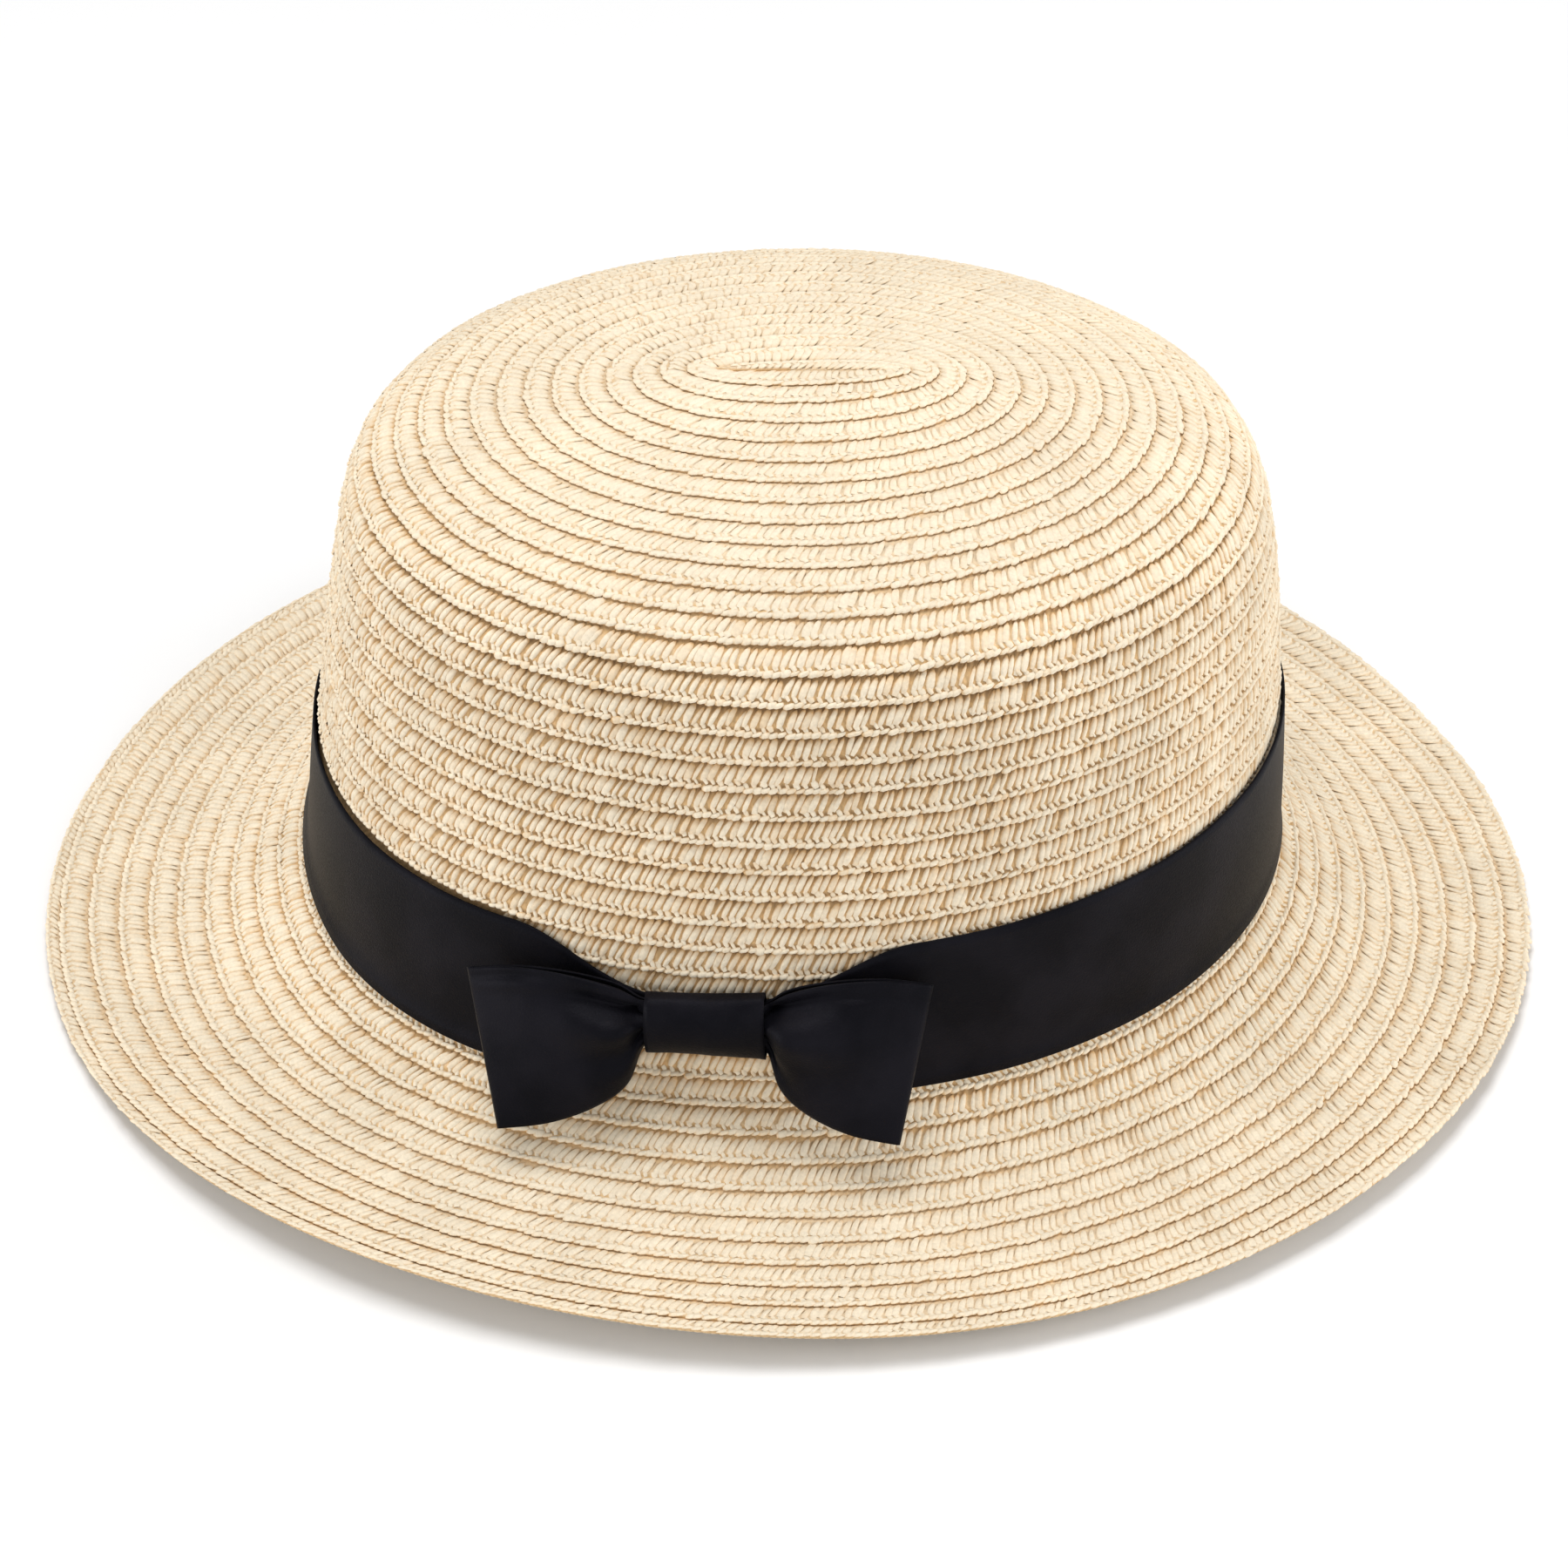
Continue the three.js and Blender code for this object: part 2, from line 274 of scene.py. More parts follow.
def braid_sheet():
    """The flat braid itself, as one strip wound from the crown's middle to the brim's edge."""
    turns = []
    here = STRIP_START
    while here < LAST_TURN:
        turns.append(here)
        perimeter = max(length_at(here + 0.5) - length_at(here - 0.5), SHORTEST_ROUND)
        here += min(STRIP_STEP / perimeter, STRIP_TURN)
    turns = np.array(turns + [LAST_TURN])[:, None]
    across, height, bold_tone, smooth_tone = SECTION.T
    smooth = 1 - bold(turns)
    outside = np.arange(len(SECTION)) < INNER_FROM
    pressed = np.where(across > PRESSED_FROM, height[None] - PRESSED * smooth, ledge(height[None], turns))
    thinned = 1 - END_THINNED * smoothstep(turns, LAST_TURN - END_TURNS, LAST_TURN)
    height = np.where(outside, pressed, height[None] * thinned)
    points = braid_point(turns, across[None] - LIP_DRAWN * smooth * (across > LIP_FROM), height)
    # the dark tones are painted shade under the lips and in the holes, lighter where the braid is smooth
    tone = smooth_tone + (bold_tone - smooth_tone) * bold(turns)
    quads = grid_quads(len(turns), len(SECTION), closed_columns=True)
    run = np.broadcast_to(length_at(turns) / STITCH, tone.shape)
    across = np.broadcast_to(across, tone.shape)
    marks = np.where(outside, MARKS_SMOOTH + MARKS_BOLD * bold(turns), 1.0)
    return new_mesh("straw_braid", points, quads[:, ::-1], tone=tone, run=run, across=across, marks=marks)


# How much strands differ. Spreads: place along the row in mm, lean in stitches, width as a share.
PLACE_SPREAD, LEAN_SPREAD, SIZE_SPREAD = 0.16, 0.26, 0.18
# spread of height in mm and of tone: where smooth, and what boldness adds
HEIGHT_SPREAD, HEIGHT_BOLD = 0.03, 0.04
SHADE_SPREAD, SHADE_BOLD = 0.03, 0.05
# Smooth strands lie further from the lip by this share of the row.
SMOOTH_BACK = 0.015
# The strands beside the bow are those within this distance of its middle.
BESIDE_BOW = 42
# A row of this height in mm or more has strands of full size. A narrower one has smaller strands, down to
# this share.
FULL_ROW, LEAST_ROOM = 5.0, 0.25
# no strand takes its normal closer than this to the tip's middle
NORMAL_FROM = 0.5
# how far below level each side of a strand's arch reaches, in half turns
ARCH_BELOW = 0.12
# bold strands are narrower by this share
BOLD_NARROWER = 0.12
# thickness, as a share of the table's, where smooth and where bold
SMOOTH_THICK, BOLD_THICK = 0.5, 1.15
# how much of the painted shade in a strand's table tone shows: where smooth, and what boldness adds
PAINTED_SHADE_SMOOTH, PAINTED_SHADE_BOLD = 0.45, 0.55
# how dark the painted shade on a strand's sides and underside is: where smooth, and what boldness adds; and
# how steeply it darkens
SIDE_SHADE_SMOOTH, SIDE_SHADE_BOLD, SIDE_SHADE_STEEP = 0.20, 0.20, 2.2


def strands(start, end, shape, ring, loose, beside_bow):
    """Many short strands, one a stitch, between two turns of the spiral.

    ring is the number of points across a strand, and loose how much strands differ across the row.
    shape columns: stitches along the row, across the row, height of the middle in mm,
    half width in stitches, thickness in mm, tone, which is painted shade where it is low, at ends that dip
    under a lip.
    """
    first, last = length_at(start), length_at(end)
    count = int((last - first) / STITCH)
    centre = first + (np.arange(count) + 0.5) * (last - first) / count
    centre = centre + rng.normal(0, PLACE_SPREAD, count)
    if beside_bow:
        place = straw(np.full(count, CROWN_FOOT - RIBBON_WIDTH / 2), turn_angle(turns_at(centre)))
        centre = centre[(np.abs((place - BOW_ORIGIN) @ BOW_SIDE) < BESIDE_BOW) & (place[:, 1] < 0)]
        count = len(centre)
    boldness = bold(turns_at(centre))
    lean = rng.normal(0, LEAN_SPREAD, count)
    size = 1 + rng.normal(0, SIZE_SPREAD, count)
    high = rng.normal(0, 1, count) * (HEIGHT_SPREAD + HEIGHT_BOLD * boldness)
    push = rng.normal(0, loose, count)
    shade = rng.normal(0, 1, count) * (SHADE_SPREAD + SHADE_BOLD * boldness)
    leaning = lean[:, None] * (shape[None, :, 1] - shape[:, 1].mean()) * STITCH
    along_row = shape[None, :, 0] * STITCH + leaning
    turns = turns_at(centre[:, None] + along_row)
    across = shape[None, :, 1] + (push - SMOOTH_BACK * (1 - boldness))[:, None]
    height = ledge(shape[None, :, 2], turns) + high[:, None]
    middle = braid_point(turns, across, height)
    upper = np.where(turns > 1, lip(turns - 1), 0)
    place = np.clip(upper + across * (lip(turns) - upper), NORMAL_FROM, BRIM_EDGE)
    normal = straw_normal(place, turn_angle(turns))
    axis = unit(np.gradient(middle, axis=1))
    side = unit(np.cross(normal, axis))
    room = np.clip((lip(turns) - upper) / FULL_ROW, LEAST_ROOM, 1.0)
    sweep = np.linspace(-ARCH_BELOW * math.pi, (1 + ARCH_BELOW) * math.pi, ring)
    broad = (size * (1 - BOLD_NARROWER * boldness))[:, None]
    width = (shape[None, :, 3] * STITCH * broad * np.sqrt(room))[..., None]
    stout = (SMOOTH_THICK + (BOLD_THICK - SMOOTH_THICK) * boldness)[:, None]
    thick = (shape[None, :, 4] * room * stout)[..., None]
    points = (middle[:, :, None, :]
              + side[:, :, None, :] * (np.cos(sweep) * width)[..., None]
              + normal[:, :, None, :] * (np.sin(sweep) * thick)[..., None])
    # painted shade: the table's low tones darken the strand's ends that dip under a lip
    tone_with_end_shade = 1 - (1 - shape[None, :, 5]) * (PAINTED_SHADE_SMOOTH + PAINTED_SHADE_BOLD * boldness[:, None])
    # painted shade on the strand's sides and underside, where it meets the straw, and none on its top
    darkest_side_shade = (SIDE_SHADE_SMOOTH + SIDE_SHADE_BOLD * boldness)[:, None, None]
    edge = darkest_side_shade * (1 - np.clip(np.sin(sweep) * SIDE_SHADE_STEEP, 0, 1))
    tone = (tone_with_end_shade + shade[:, None])[..., None] - edge
    quads = grid_quads(shape.shape[0], ring)
    block = shape.shape[0] * ring
    quads = (quads[None] + (np.arange(count) * block)[:, None, None]).reshape(-1, 4)
    return points.reshape(-1, 3), quads, tone.ravel()


# The three strands of a stitch, with columns as in strands: one slants down the row, one crosses its
# lower end, and one links along the lip.
# Their low tones are painted shade where the strands dip under a lip.
SLANTED = np.array([
    (-0.66, 0.07, -0.82, 0.18, 0.22, 0.22), (-0.44, 0.19, -0.42, 0.42, 0.42, 0.76),
    (-0.10, 0.36, -0.06, 0.54, 0.42, 0.96), (0.20, 0.55, 0.08, 0.55, 0.36, 0.98),
    (0.42, 0.71, 0.12, 0.38, 0.24, 0.90),
])
CROSSING = np.array([
    (0.42, 0.62, 0.00, 0.30, 0.18, 0.88), (0.18, 0.73, 0.14, 0.42, 0.28, 0.98),
    (-0.06, 0.84, 0.22, 0.32, 0.26, 0.94),
])
LINKED = np.array([
    (-0.68, 0.85, 0.20, 0.24, 0.26, 0.80), (-0.26, 0.90, 0.35, 0.41, 0.46, 1.0),
    (0.28, 0.95, 0.28, 0.40, 0.42, 0.97), (0.66, 0.97, 0.02, 0.24, 0.24, 0.50),
])
# columns: table, points across a strand, how much the strands differ across the row
STRAND_KINDS = [(SLANTED, 4, 0.035), (CROSSING, 4, 0.035), (LINKED, 5, 0.016)]


def stitches(name, start, end, beside_bow=False):
    """All the strands between two turns, as one mesh."""
    points, quads, tone, base = [], [], [], 0
    for shape, ring, loose in STRAND_KINDS:
        part_points, part_quads, part_tone = strands(start, end, shape, ring, loose, beside_bow)
        points.append(part_points)
        quads.append(part_quads + base)
        tone.append(part_tone)
        base += len(part_points)
    return new_mesh(name, np.concatenate(points), np.concatenate(quads), tone=np.concatenate(tone))


# ---------------------------------------------------------------- ribbon

# cloth thickness of the ribbon and of the bow
RIBBON_CLOTH, BOW_CLOTH = 0.45, 0.4
# The ribbon's outer face stands this far off the straw, and one edge or the other up to RIBBON_TWIST
# further, over so many waves round the hat.
RIBBON_OFF, RIBBON_TWIST, TWIST_WAVES = 1.15, 0.05, 5
# rows of ribbon points round the hat and across its width
RIBBON_AROUND, RIBBON_ACROSS = 480, 17
# how much the pleats lift the ribbon as a whole
PLEAT_LIFT = 0.6
# columns: height in mm, waves for each half width, phase
PLEATS = [(0.55, 10.5, 0.6), (0.35, 17, 2)]
# columns: distance in mm by which the edges wander, waves round the hat, phase
WANDER = [(0.14, 3, 1), (0.10, 7, 0), (0.07, 17, 2)]
WANDER_SHARE = 0.8


def bow_point(side, up, out):
    """Points placed by the bow's own directions."""
    side, up, out = np.broadcast_arrays(*(np.asarray(part, float) for part in (side, up, out)))
    return BOW_ORIGIN + side[..., None] * BOW_SIDE + up[..., None] * BOW_UP + out[..., None] * BOW_OUT


def thicken(points, thickness):
    """Both faces of a grid of points and their rims, as a closed grid in its second direction."""
    down = np.gradient(points, axis=0)
    over = np.gradient(points, axis=1)
    normal = unit(np.cross(down, over))
    back = points - normal * thickness
    return np.concatenate([points, back[:, ::-1]], axis=1)


def end_quads(rows, columns):
    """Faces that close the first and last rows of a thickened grid."""
    near = np.arange(columns // 2 - 1)
    far = columns - 1 - near
    first = np.stack([near, near + 1, far - 1, far], -1)
    return np.concatenate([first, first[:, ::-1] + (rows - 1) * columns])


def ribbon_band():
    """The ribbon round the foot of the crown, gathered to a neck behind the bow."""
    angles = np.linspace(0, 2 * math.pi, RIBBON_AROUND + 1)[:-1]
    widths = np.linspace(-1, 1, RIBBON_ACROSS)
    middle = CROWN_FOOT - RIBBON_WIDTH / 2
    place = straw(np.full_like(angles, middle), angles)
    from_bow = (place - BOW_ORIGIN) @ BOW_SIDE
    in_front = np.where(np.sin(angles) < 0, 1, 0)
    gathered = in_front * (1 - smoothstep(np.abs(from_bow), GATHER_FROM, GATHER_TO))
    half = (RIBBON_WIDTH + (NECK_HEIGHT - RIBBON_WIDTH) * gathered) / 2
    tilt = RIBBON_TILT["upper"] + (RIBBON_TILT["lower"] - RIBBON_TILT["upper"]) * (1 + widths[None]) / 2
    along = middle + widths[None] * half[:, None] - tilt * np.cos(angles[:, None])
    wander = waves_at(WANDER, angles) * WANDER_SHARE
    along = along + wander[:, None] * (1 - gathered[:, None])
    pleated = gathered * smoothstep(np.abs(from_bow), FLAT_TO, PLEATS_FROM)
    twist = RIBBON_TWIST * np.sin(TWIST_WAVES * angles)[:, None] * widths[None]
    offset = RIBBON_OFF + twist + pleated[:, None] * (PLEAT_LIFT + waves_at(PLEATS, widths)[None])
    points = off_straw(along, angles[:, None], offset)
    both = thicken(points, RIBBON_CLOTH)
    quads = grid_quads(*both.shape[:2], closed_rows=True, closed_columns=True)
    return new_mesh("ribbon_wrap", both, quads[:, ::-1])


# A loop's edges from inside the knot to its fold. They follow the loop in part.mjs, but that one starts
# at the knot's side and has other thicknesses, so the two tables differ.
# columns: side, up and out of the upper edge, side, up and out of the lower edge, thickness
LOOP = np.array([
    (7.0, 5.1, 2.9, 7.0, -4.6, 2.9, 1.5), (11.8, 5.3, 3.0, 11.8, -4.9, 3.0, 1.7),
    (17, 8, 2.8, 15, -12, 5.5, 6.8), (26, 9.8, 2, 21, -16.0, 8, 6.0),
    (36, 9.6, 0, 29.5, -19.2, 9.5, 3.6), (45.5, 7, -3, 39.3, -21.3, 9.5, 1.2),
])
RIGHT_LOOP_LENGTH = 0.91
# where the loops leave the knot; a shorter loop is shortened from here on
KNOT_EDGE = 11.8
# points of a loop's grid from the knot round the fold and back, and down its height
LOOP_ALONG, LOOP_DOWN = 97, 49
# the last share of a loop, which bends round into its fold, and the power that rounds it
FOLD_ROUND, FOLD_POWER = 0.1, 1.6
# the share of the way from the fold in which front and back part, and the power of that curve
PART_SHARE, PART_POWER = 0.06, 0.5
# a loop's thickness at its edges, what it gains halfway down, and the power of that curve
PUFF_EDGE, PUFF_GAIN, PUFF_POWER = 0.22, 0.78, 0.7
# Inside the knot a fold leaves FOLD_GAP mm between a loop's front and back. The limit fades out between
# two shares of the loop's length, by falling LIMIT_DEPTH mm.
FOLD_GAP = 0.9
LIMIT_FADES = (0.18, 0.32)
LIMIT_DEPTH = 4.0


def smooth_rows(table, places):
    """Rows of a table read along a smooth curve through them."""
    index = np.clip(np.floor(places).astype(int), 0, len(table) - 2)
    share = (places - index)[:, None]
    before = table[np.maximum(index - 1, 0)]
    after = table[np.minimum(index + 2, len(table) - 1)]
    here, there = table[index], table[index + 1]
    slope_here, slope_there = (there - before) / 2, (after - here) / 2
    return ((2 * share ** 3 - 3 * share ** 2 + 1) * here + (share ** 3 - 2 * share ** 2 + share) * slope_here
            + (3 * share ** 2 - 2 * share ** 3) * there + (share ** 3 - share ** 2) * slope_there)


# Folds in a loop's front, from the knot outward.
# columns: height in mm, place down the loop at the knot and at its far end, half width,
# where it starts and ends
LEFT_FOLDS = [
    (-3.0, 0.28, 0.10, 0.10, 0.0, 0.80), (1.5, 0.46, 0.34, 0.13, 0.0, 0.75),
    (-1.0, 0.70, 0.55, 0.13, 0.0, 0.80), (0.9, 0.88, 0.80, 0.10, 0.0, 0.60),
    (-0.7, 0.00, 0.06, 0.022, 0.75, 1.1), (0.5, 0.11, 0.11, 0.03, 0.75, 1.1),
]
RIGHT_FOLDS = [
    (-3.0, 0.18, 0.08, 0.10, 0.0, 0.80), (1.9, 0.36, 0.46, 0.17, 0.10, 0.95),
    (-2.0, 0.72, 0.95, 0.11, 0.0, 0.60), (0.8, 0.60, 0.66, 0.08, 0.0, 0.50),
    (-0.5, 0.10, 0.11, 0.018, 0.75, 1.0), (0.4, 0.15, 0.16, 0.03, 0.75, 1.0),
]
# A fold rises over FOLD_RISE of the loop's length, up to FOLD_OVER past its start, and sinks over FOLD_SINK.
FOLD_RISE, FOLD_OVER, FOLD_SINK = 0.2, 0.01, 0.35


def fold_heights(folds, share, down):
    """Height of all the folds at a share of the loop's length and a place down it."""
    total = 0
    for height, near, far, width, start, end in folds:
        centre = near + (far - near) * share
        risen = smoothstep(share, start - FOLD_RISE, start + FOLD_OVER)
        here = risen * (1 - smoothstep(share, end - FOLD_SINK, end))
        total = total + height * here * np.exp(-((down - centre) / width) ** 2)
    return total


def bow_loop(name, hand, folds):
    """One loop of cloth: back from the knot to the outer fold, then forward again over the front."""
    turn = np.linspace(-1, 1, LOOP_ALONG)
    share = 1 - np.abs(turn)
    rounded = 1 - FOLD_ROUND * ((1 - share) / FOLD_ROUND) ** FOLD_POWER
    share = np.where(share > 1 - FOLD_ROUND, rounded, share)
    rows = smooth_rows(LOOP, share * (len(LOOP) - 1))
    top_side = np.sign(hand) * KNOT_EDGE + hand * (rows[:, 0] - KNOT_EDGE)
    low_side = np.sign(hand) * KNOT_EDGE + hand * (rows[:, 3] - KNOT_EDGE)
    top = bow_point(top_side, rows[:, 1], rows[:, 2])
    low = bow_point(low_side, rows[:, 4], rows[:, 5])
    down = np.linspace(0, 1, LOOP_DOWN)
    through = unit(np.cross(BOW_SIDE, top - low))
    face = np.sign(turn) * np.clip(np.abs(turn) / PART_SHARE, 0, 1) ** PART_POWER
    puff = PUFF_EDGE + PUFF_GAIN * np.sin(math.pi * down) ** PUFF_POWER
    depth = face[:, None] * rows[:, 6:7] / 2 * puff[None]
    half = np.abs(depth)
    faded = LIMIT_DEPTH * smoothstep(share, *LIMIT_FADES)[:, None]
    limit = np.minimum(FOLD_GAP, 2 * half) - half - faded
    folded = np.maximum(depth + fold_heights(folds, share[:, None], down[None]), limit)
    depth = np.where(turn[:, None] > 0, folded, depth)
    points = top[:, None] * (1 - down[None, :, None]) + low[:, None] * down[None, :, None]
    points = points + through[:, None] * depth[..., None]
    if hand > 0:
        points = points[:, ::-1]
    both = thicken(points, BOW_CLOTH)
    along, columns = both.shape[:2]
    quads = np.concatenate([grid_quads(along, columns, closed_columns=True), end_quads(along, columns)])
    return new_mesh(name, both, quads[:, ::-1])


# The knot's outside, and how far its back stands off the bow's origin, so that it clears the ribbon.
KNOT_WIDTH, KNOT_HEIGHT, KNOT_DEPTH, KNOT_CLEAR = 22.6, 12.6, 4.5, 0.9
# how far its middle is along the bow and up from the origin
KNOT_SHIFT = 0.3
# power of the knot's rounded oblong section, where 1 is an oval and less is squarer
KNOT_POWER = 0.55
# points round the knot and along it
KNOT_AROUND, KNOT_ALONG = 64, 25
# Share of its height: at both ends, how much less in the middle, and what one end gains and the other
# loses.
PINCH_ENDS, PINCH_MIDDLE, PINCH_SLOPE = 0.99, 0.05, 0.06
# columns: height in mm, waves for each half width, phase
KNOT_RIPPLES = [(0.22, 5, 0.5), (0.10, 13, 0)]
# how far the knot's front bulges, and how much less at its ends
BULGE, BULGE_FALL = 2.0, 0.5


def rounded_oblong(wave):
    return np.sign(wave) * np.abs(wave) ** KNOT_POWER


def bow_knot():
    """The wrap round the middle of the bow, its front rippled and bulging."""
    around = np.linspace(0, 2 * math.pi, KNOT_AROUND + 1)[:-1]
    over = np.linspace(-1, 1, KNOT_ALONG)
    up = KNOT_SHIFT + rounded_oblong(np.sin(around)) * KNOT_HEIGHT / 2
    out = KNOT_DEPTH / 2 + KNOT_CLEAR + rounded_oblong(np.cos(around)) * KNOT_DEPTH / 2
    pinch = PINCH_ENDS - PINCH_MIDDLE * (1 - over ** 2) + PINCH_SLOPE * over
    arch = 1 - (2 * (up - KNOT_SHIFT) / KNOT_HEIGHT) ** 2
    bulge = BULGE * arch[:, None] * (1 - BULGE_FALL * over ** 2)
    front = np.clip(np.cos(around), 0, 1)[:, None]
    raised = out[:, None] + front * (waves_at(KNOT_RIPPLES, over) + bulge)
    points = bow_point(KNOT_SHIFT + over * KNOT_WIDTH / 2, up[:, None] * pinch, raised)
    both = thicken(points, BOW_CLOTH)
    quads = grid_quads(*both.shape[:2], closed_rows=True, closed_columns=True)
    return new_mesh("bow_wrap", both, quads[:, ::-1])


# ---------------------------------------------------------------- materials

def material(name):
    made = bpy.data.materials.new(name)
    made.use_nodes = True
    tree = made.node_tree
    return made, tree, tree.nodes["Principled BSDF"]


def node(tree, kind, inputs=None, **settings):
    made = tree.nodes.new(kind)
    for key, value in settings.items():
        setattr(made, key, value)
    for key, value in (inputs or {}).items():
        made.inputs[key].default_value = value
    return made


def attribute(tree, name):
    return node(tree, "ShaderNodeAttribute", attribute_name=name, attribute_type="GEOMETRY")


def map_range(tree, source, target):
    low, high = source
    start, end = target
    limits = {"From Min": low, "From Max": high, "To Min": start, "To Max": end}
    return node(tree, "ShaderNodeMapRange", limits)


# the middle part of a noise texture's values
NOISE_RANGE = (0.3, 0.7)
# tones as linear red, green, blue and alpha: the painted shade of gaps and holes, the orange-brown of the
# lips, which is partly painted shade, and the straw's own cream
STRAW_SHADE = (0.22, 0.12, 0.05, 1)
STRAW_TAN = (0.69, 0.455, 0.225, 1)
STRAW_PALE = (0.82, 0.715, 0.55, 1)
# where across the row the plaited stitches turn, and how many stitches they slant over a whole row
PLAIT_MIDDLE, PLAIT_SLANT = 0.45, 1.3


def straw_material(name, plaited):
    """Paper straw coloured by the tone value, whose dark end is painted shade; plaited adds the braid's
    stitches to a smooth face, with painted shade in their grooves.
    """
    made, tree, shader = material(name)
    link = tree.links.new
    tone = attribute(tree, "tone")
    ramp = node(tree, "ShaderNodeValToRGB")
    ramp.color_ramp.elements[0].color = STRAW_SHADE
    ramp.color_ramp.elements[1].color = STRAW_PALE
    middle = ramp.color_ramp.elements.new(0.5)
    middle.color = STRAW_TAN
    link(tone.outputs["Fac"], ramp.inputs["Fac"])
    place = node(tree, "ShaderNodeTexCoord")
    fibre = node(tree, "ShaderNodeTexNoise", {"Scale": 1400, "Detail": 3, "Roughness": 0.6})
    patch = node(tree, "ShaderNodeTexNoise", {"Scale": 45, "Detail": 2})
    for texture in (fibre, patch):
        link(place.outputs["Object"], texture.inputs["Vector"])
    light = map_range(tree, NOISE_RANGE, (0.90, 1.07))
    link(fibre.outputs["Fac"], light.inputs["Value"])
    blotch = map_range(tree, NOISE_RANGE, (0.94, 1.05))
    link(patch.outputs["Fac"], blotch.inputs["Value"])
    both = node(tree, "ShaderNodeMath", operation="MULTIPLY")
    link(light.outputs["Result"], both.inputs[0])
    link(blotch.outputs["Result"], both.inputs[1])
    shade = both.outputs[0]
    if plaited:
        run = attribute(tree, "run")
        across = attribute(tree, "across")
        centred = node(tree, "ShaderNodeMath", {1: PLAIT_MIDDLE}, operation="SUBTRACT")
        folded = node(tree, "ShaderNodeMath", operation="ABSOLUTE")
        turned = node(tree, "ShaderNodeMath", {1: PLAIT_SLANT}, operation="MULTIPLY_ADD")
        cycle = node(tree, "ShaderNodeMath", {1: 2 * math.pi}, operation="MULTIPLY")
        ridge = node(tree, "ShaderNodeMath", operation="SINE")
        link(across.outputs["Fac"], centred.inputs[0])
        link(centred.outputs[0], folded.inputs[0])
        link(folded.outputs[0], turned.inputs[0])
        link(run.outputs["Fac"], turned.inputs[2])
        link(turned.outputs[0], cycle.inputs[0])
        link(cycle.outputs[0], ridge.inputs[0])
        marks = attribute(tree, "marks")
        # painted shade: the troughs of the stitch pattern are darkened; raised gives the same pattern as bump
        groove_shade = map_range(tree, (-1.0, -0.2), (-0.38, 0.0))
        share = node(tree, "ShaderNodeMath", {2: 1.0}, operation="MULTIPLY_ADD")
        groove_shaded = node(tree, "ShaderNodeMath", operation="MULTIPLY")
        raised = node(tree, "ShaderNodeMath", operation="MULTIPLY")
        link(ridge.outputs[0], groove_shade.inputs["Value"])
        link(groove_shade.outputs["Result"], share.inputs[0])
        link(marks.outputs["Fac"], share.inputs[1])
        link(share.outputs[0], groove_shaded.inputs[0])
        link(shade, groove_shaded.inputs[1])
        link(ridge.outputs[0], raised.inputs[0])
        link(marks.outputs["Fac"], raised.inputs[1])
        shade = groove_shaded.outputs[0]
    mix = node(tree, "ShaderNodeVectorMath", operation="SCALE")
    link(ramp.outputs["Color"], mix.inputs[0])
    link(shade, mix.inputs["Scale"])
    link(mix.outputs[0], shader.inputs["Base Color"])
    shader.inputs["Roughness"].default_value = 0.8
    shader.inputs["Specular IOR Level"].default_value = 0.2
    bump = node(tree, "ShaderNodeBump", {"Strength": 0.35, "Distance": 0.0003})
    link(fibre.outputs["Fac"], bump.inputs["Height"])
    if plaited:
        relief = node(tree, "ShaderNodeBump", {"Strength": 0.6, "Distance": 0.0005})
        link(raised.outputs[0], relief.inputs["Height"])
        link(relief.outputs["Normal"], bump.inputs["Normal"])
    link(bump.outputs["Normal"], shader.inputs["Normal"])
    return made


# the ribbon's two blacks, and where its cloudy noise turns from one to the other
RIBBON_DARK = (0.0016, 0.0016, 0.0028, 1)
RIBBON_PALE = (0.0058, 0.0054, 0.0078, 1)
CLOUD_FROM, CLOUD_TO = 0.40, 0.64


def ribbon_material():
    made, tree, shader = material("black_ribbon")
    link = tree.links.new
    place = node(tree, "ShaderNodeTexCoord")
    weave = node(tree, "ShaderNodeTexNoise", {"Scale": 2600, "Detail": 2, "Roughness": 0.7})
    cloud = node(tree, "ShaderNodeTexNoise", {"Scale": 60, "Detail": 3})
    for texture in (weave, cloud):
        link(place.outputs["Object"], texture.inputs["Vector"])
    colour = node(tree, "ShaderNodeValToRGB")
    colour.color_ramp.elements[0].position = CLOUD_FROM
    colour.color_ramp.elements[0].color = RIBBON_DARK
    colour.color_ramp.elements[1].position = CLOUD_TO
    colour.color_ramp.elements[1].color = RIBBON_PALE
    link(cloud.outputs["Fac"], colour.inputs["Fac"])
    link(colour.outputs["Color"], shader.inputs["Base Color"])
    rough = map_range(tree, NOISE_RANGE, (0.43, 0.56))
    link(weave.outputs["Fac"], rough.inputs["Value"])
    link(rough.outputs["Result"], shader.inputs["Roughness"])
    shader.inputs["Specular IOR Level"].default_value = 0.085
    shader.inputs["Specular Tint"].default_value = (0.88, 0.86, 1.0, 1)
    shader.inputs["Sheen Weight"].default_value = 0.012
    shader.inputs["Sheen Roughness"].default_value = 0.4
    bump = node(tree, "ShaderNodeBump", {"Strength": 0.5, "Distance": 0.0002})
    link(weave.outputs["Fac"], bump.inputs["Height"])
    link(bump.outputs["Normal"], shader.inputs["Normal"])
    return made


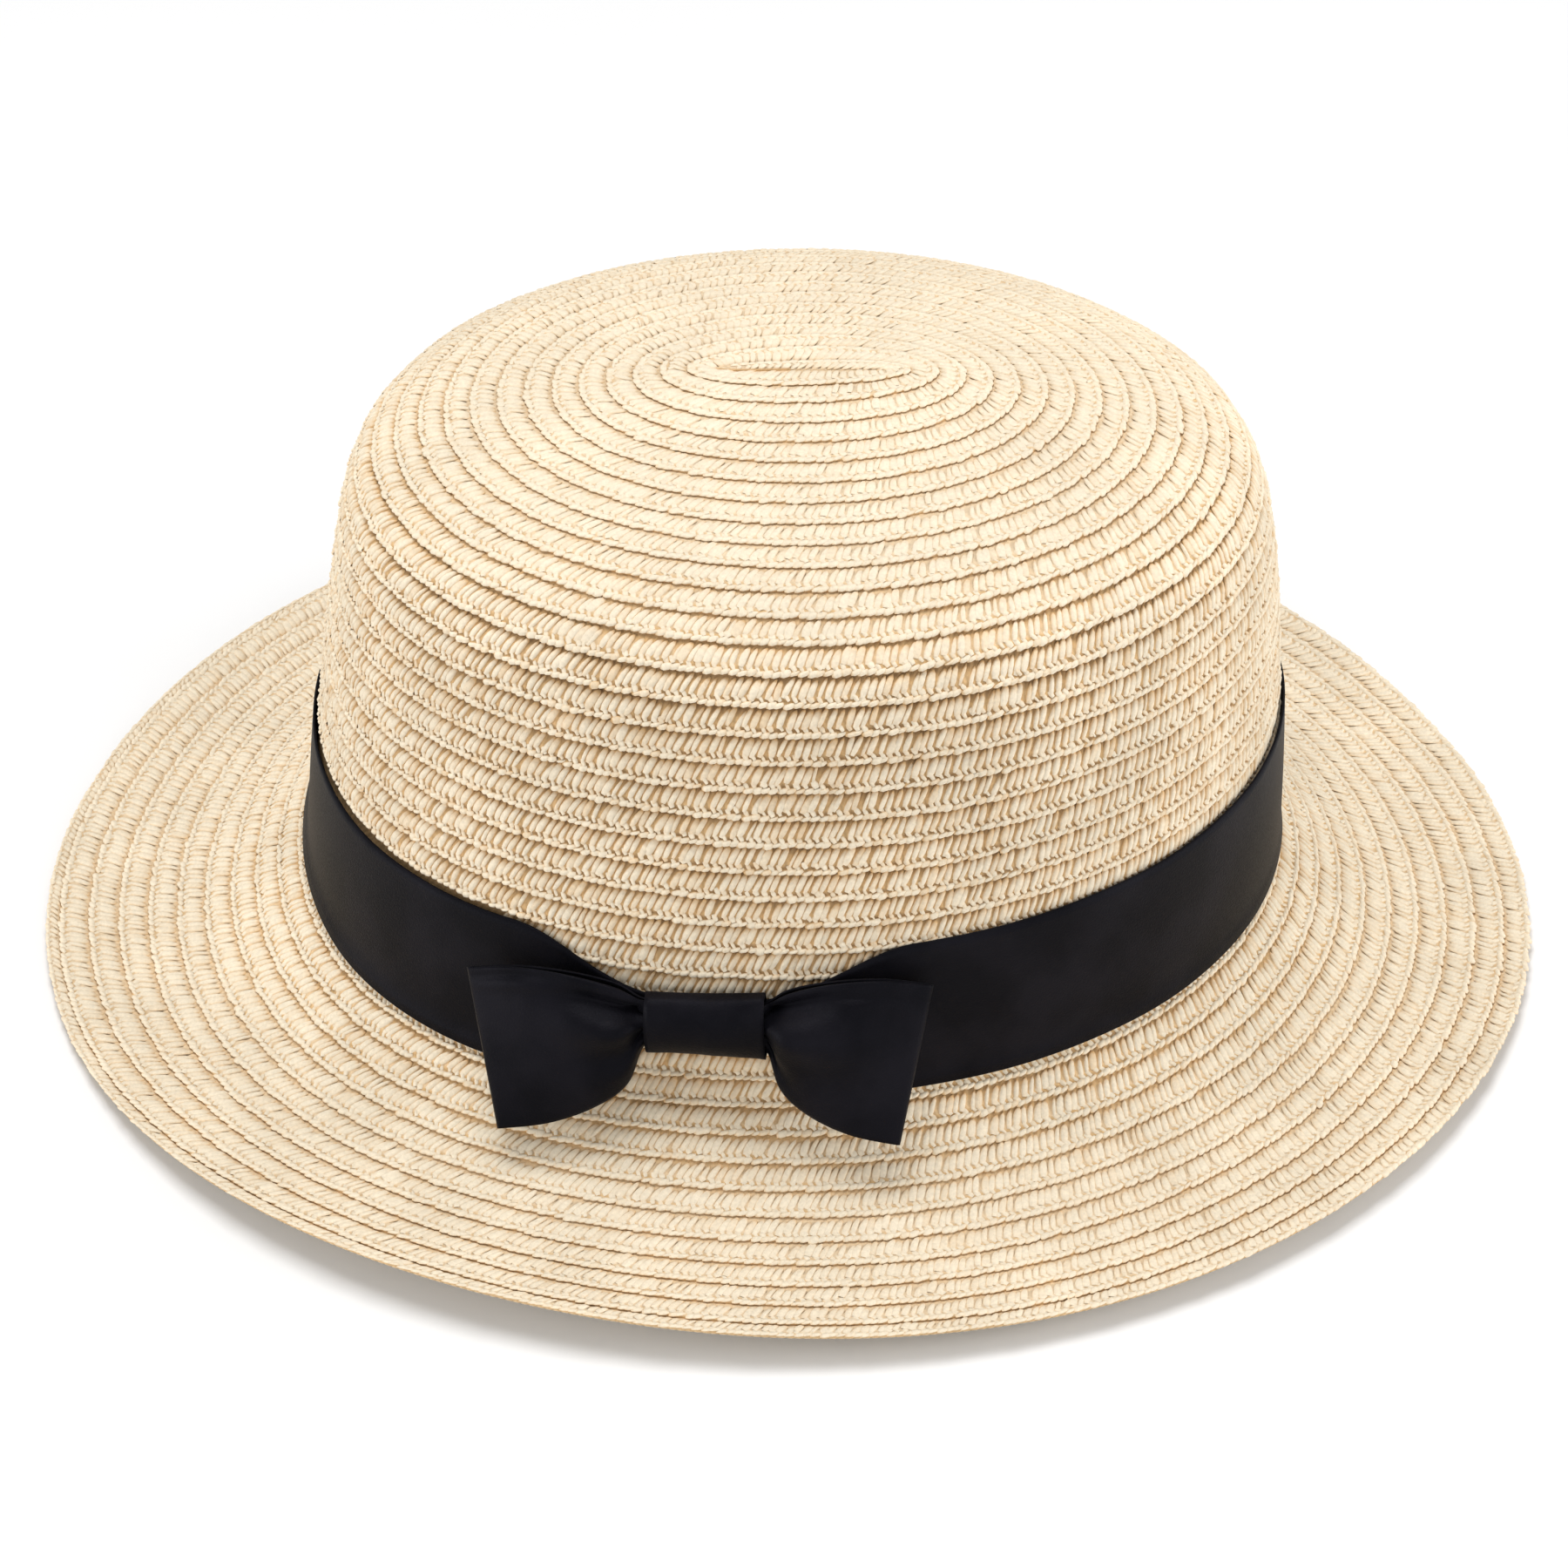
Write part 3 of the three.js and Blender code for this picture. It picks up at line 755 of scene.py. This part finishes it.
def floor_material():
    made, tree, shader = material("studio_floor")
    noise = node(tree, "ShaderNodeTexNoise", {"Scale": 3, "Detail": 2})
    colour = node(tree, "ShaderNodeValToRGB")
    colour.color_ramp.elements[0].color = (0.88, 0.88, 0.88, 1)
    colour.color_ramp.elements[1].color = (0.90, 0.90, 0.90, 1)
    tree.links.new(noise.outputs["Fac"], colour.inputs["Fac"])
    tree.links.new(colour.outputs["Color"], shader.inputs["Base Color"])
    shader.inputs["Roughness"].default_value = 0.9
    return made


# ---------------------------------------------------------------- the object

STRAW = straw_material("paper_straw", plaited=False)
PLAITED_STRAW = straw_material("plaited_straw", plaited=True)
RIBBON = ribbon_material()


def place_piece(piece, cad_node, look):
    """Give a piece its material and body, and hide the CAD part that it stands in for."""
    piece.data.materials.append(look)
    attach(piece, "root")
    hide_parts(cad_node)
    return piece


# the braid's turns that the ribbon covers, except where it narrows beside the bow
UNDER_RIBBON = (25.0, 28.9)
# the two numbers of each stitches piece are the turns between which it lies
straw_pieces = [
    braid_sheet(),
    stitches("stitches_tip", 0.35, 13.0),
    stitches("stitches_wall_upper", 13.0, 19.0),
    stitches("stitches_wall_lower", 19.0, UNDER_RIBBON[0]),
    stitches("stitches_beside_bow", *UNDER_RIBBON, beside_bow=True),
    stitches("stitches_brim_inner", UNDER_RIBBON[1], 33.0),
    stitches("stitches_brim_middle", 33.0, 37.0),
    stitches("stitches_brim_outer", 37.0, LAST_TURN),
]
for piece in straw_pieces:
    place_piece(piece, "straw_body", PLAITED_STRAW if piece.name == "straw_braid" else STRAW)

band = place_piece(ribbon_band(), "ribbon_band", RIBBON)
left = place_piece(bow_loop("bow_wing_left", -1, LEFT_FOLDS), "bow_loop_left", RIBBON)
right_loop = bow_loop("bow_wing_right", RIGHT_LOOP_LENGTH, RIGHT_FOLDS)
right = place_piece(right_loop, "bow_loop_right", RIBBON)
knot = place_piece(bow_knot(), "bow_knot", RIBBON)

# ---------------------------------------------------------------- floor, light and camera

FLOOR_SIZE = 30
WORLD_STRENGTH = 0.41
# what every softbox points at
LIT_POINT = Vector((0, 0, 0.05))

bpy.ops.mesh.primitive_plane_add(size=FLOOR_SIZE)
floor = bpy.context.object
floor.name = "studio_floor"
floor.data.materials.append(floor_material())

world = bpy.data.worlds.new("studio")
bpy.context.scene.world = world
world.use_nodes = True
world.node_tree.nodes["Background"].inputs["Color"].default_value = (1.0, 1.0, 1.0, 1)
world.node_tree.nodes["Background"].inputs["Strength"].default_value = WORLD_STRENGTH


def softbox(name, place, size, watts):
    light = bpy.data.lights.new(name, "AREA")
    light.shape = "RECTANGLE"
    light.size, light.size_y = size
    light.energy = watts
    lamp = bpy.data.objects.new(name, light)
    lamp.location = place
    lamp.rotation_euler = (LIT_POINT - Vector(place)).to_track_quat("-Z", "Y").to_euler()
    bpy.context.scene.collection.objects.link(lamp)


softbox("softbox_top", place=(-0.1, 0.1, 1.3), size=(0.8, 0.6), watts=11)
softbox("softbox_left", place=(-1.3, -0.35, 0.32), size=(0.7, 0.6), watts=7.1)
softbox("softbox_right", place=(1.3, -0.25, 0.42), size=(0.7, 0.7), watts=8.7)
softbox("softbox_front", place=(0.2, -1.4, 0.55), size=(0.9, 0.6), watts=3.8)

AZIMUTH, ELEVATION, ROLL = (math.radians(degrees) for degrees in (0.864, 38.667, 0.45))
DISTANCE = 0.9637
TARGET = Vector((0.00036, 0, 0.0294))
# lens and sensor in millimetres
LENS, SENSOR = 108.5, 36
# nothing closer than this is drawn
NEAREST = 0.05


def camera():
    """The camera at the picture's angle to the hat."""
    made = bpy.data.objects.new("camera", bpy.data.cameras.new("camera"))
    made.data.lens = LENS
    made.data.sensor_width = SENSOR
    made.data.clip_start = NEAREST
    level = math.cos(ELEVATION)
    forward = Vector((math.sin(AZIMUTH) * level, math.cos(AZIMUTH) * level, -math.sin(ELEVATION)))
    right_side = forward.cross(Vector((0, 0, 1))).normalized()
    up_side = right_side.cross(forward)
    across = math.cos(ROLL) * right_side + math.sin(ROLL) * up_side
    upward = -math.sin(ROLL) * right_side + math.cos(ROLL) * up_side
    turn = Matrix((across, upward, -forward)).transposed().to_4x4()
    made.matrix_world = Matrix.Translation(TARGET - DISTANCE * forward) @ turn
    bpy.context.scene.collection.objects.link(made)
    bpy.context.scene.camera = made


camera()
bpy.context.scene.view_settings.view_transform = "Standard"
